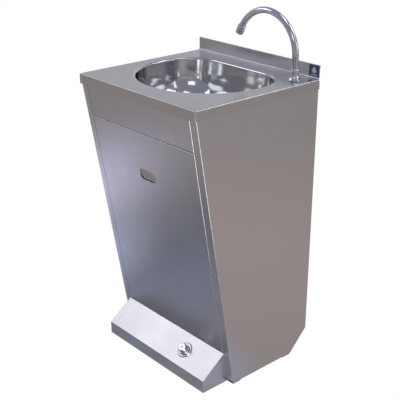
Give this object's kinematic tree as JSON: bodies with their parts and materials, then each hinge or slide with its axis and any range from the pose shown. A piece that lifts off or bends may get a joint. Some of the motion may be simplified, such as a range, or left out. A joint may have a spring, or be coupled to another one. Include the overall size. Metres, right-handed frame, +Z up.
{
  "type": "free-standing hand wash station",
  "caption": "Free-standing brushed-steel hand wash sink with a leaning front, D-shaped bowl, swivelling swan-neck tap and a foot push button on a wedge-shaped box.",
  "frame": {"origin": "on the floor, under the middle of the worktop's footprint", "axes": "+Z up, the front and the foot button face -Y, +X to the right of someone standing in front"},
  "size_m": [0.49, 0.452, 1.0334],
  "materials": {
    "steel_brushed": "brushed stainless sheet, fine grain",
    "steel_polished": "polished stainless",
    "steel_inner": "mill finish stainless",
    "chrome_plate": "bright chrome",
    "brass_raw": "nickel-free machined brass",
    "rubber_black": "moulded rubber",
    "plastic_white": "moulded white plastic",
    "plastic_black": "moulded black plastic",
    "hose_braid": "braided steel over rubber",
    "sticker_film": "printed film"
  },
  "bodies": {
    "cabinet": {"worktop": "steel_brushed", "side_panel_left": "steel_brushed", "side_panel_right": "steel_brushed", "front_fascia": "steel_brushed", "foot_box": "steel_brushed", "bowl": "steel_polished", "drain_strainer": "steel_polished", "strainer_screw": "steel_polished", "front_rail": "steel_inner", "rear_rail_top": "steel_inner", "service_rail": "steel_inner", "rear_rail_bottom": "steel_inner", "pivot_bracket_left": "steel_inner", "pivot_bracket_right": "steel_inner", "mixer_bracket": "steel_inner", "bracket_rivets": "steel_inner", "mixer_screws": "steel_inner", "valve_body": "chrome_plate", "tap_base": "chrome_plate", "tap_collar": "chrome_plate", "valve_escutcheon": "chrome_plate", "tap_shank": "brass_raw", "tap_nut": "brass_raw", "valve_lock_nut": "brass_raw", "mixer_body": "brass_raw", "cold_check_valve": "brass_raw", "hot_check_valve": "brass_raw", "hose_nuts": "brass_raw", "tap_gasket": "rubber_black", "tap_washer": "rubber_black", "drain_gasket": "rubber_black", "drain_body": "plastic_white", "trap_inlet_nut": "plastic_white", "trap_body": "plastic_white", "trap_cup": "plastic_white", "trap_outlet_nut": "plastic_white", "waste_pipe": "plastic_white", "foot_glides": "plastic_black", "magnet_catch_left": "plastic_black", "magnet_catch_right": "plastic_black", "tap_hose": "hose_braid", "valve_hose": "hose_braid", "corner_sticker": "sticker_film"},
    "spout_body": {"spout": "chrome_plate", "spout_seal": "rubber_black", "aerator_housing": "chrome_plate", "aerator_screen": "plastic_white"},
    "foot_button": {"button_cap": "chrome_plate", "valve_plunger": "brass_raw", "return_spring": "steel_inner"},
    "front_door": {"access_panel": "steel_brushed", "pivot_pins": "steel_inner", "keeper_plates": "steel_inner"},
    "knob": {"mixer_knob": "plastic_black"}
  },
  "joints": [
    {"name": "spout_swivel", "type": "hinge", "parent": "cabinet", "child": "spout_body", "pos_m": [0.2096, 0.1629, 0.872], "axis": [0, 0, 1], "range_deg": [-10, 150]},
    {"name": "button_press", "type": "slide", "parent": "cabinet", "child": "foot_button", "axis": [0, 0.5909, -0.8067], "range_m": [0, 0.007], "stiffness_N_per_m": 3000, "springref_m": -0.004, "deforming": ["return_spring"]},
    {"name": "panel_tilt", "type": "hinge", "parent": "cabinet", "child": "front_door", "pos_m": [0, -0.09192, 0.10943], "axis": [1, 0, 0], "range_deg": [0, 88]},
    {"name": "knob_turn", "type": "hinge", "parent": "cabinet", "child": "knob", "pos_m": [-0.12, 0.1436, 0.265], "axis": [0, -1, 0], "range_deg": [-60, 60]}
  ]
}
